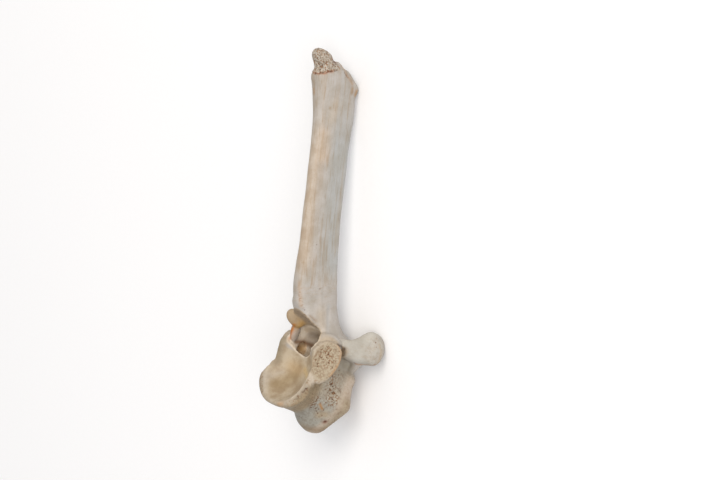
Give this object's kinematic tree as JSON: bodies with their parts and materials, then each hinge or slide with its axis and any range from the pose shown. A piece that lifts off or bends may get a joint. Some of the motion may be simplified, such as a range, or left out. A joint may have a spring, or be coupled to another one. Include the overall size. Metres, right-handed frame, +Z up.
{
  "type": "elk vertebra",
  "caption": "Life-size bleached elk thoracic vertebra with a long blade-like spine, two short wings, a canal and a cupped body, lying on its cranial side.",
  "frame": {"origin": "under the middle of the bone's box, on the floor it rests on", "axes": "+X towards the tip of the spine, -Y towards the animal's right side, +Z up; the bone lies with its cranial side down"},
  "size_m": [0.239, 0.077, 0.0581],
  "materials": {
    "bleached_bone": "dull, dry, sun-bleached bone"
  },
  "bodies": {
    "root": {"vertebra": "bleached_bone"}
  },
  "joints": []
}
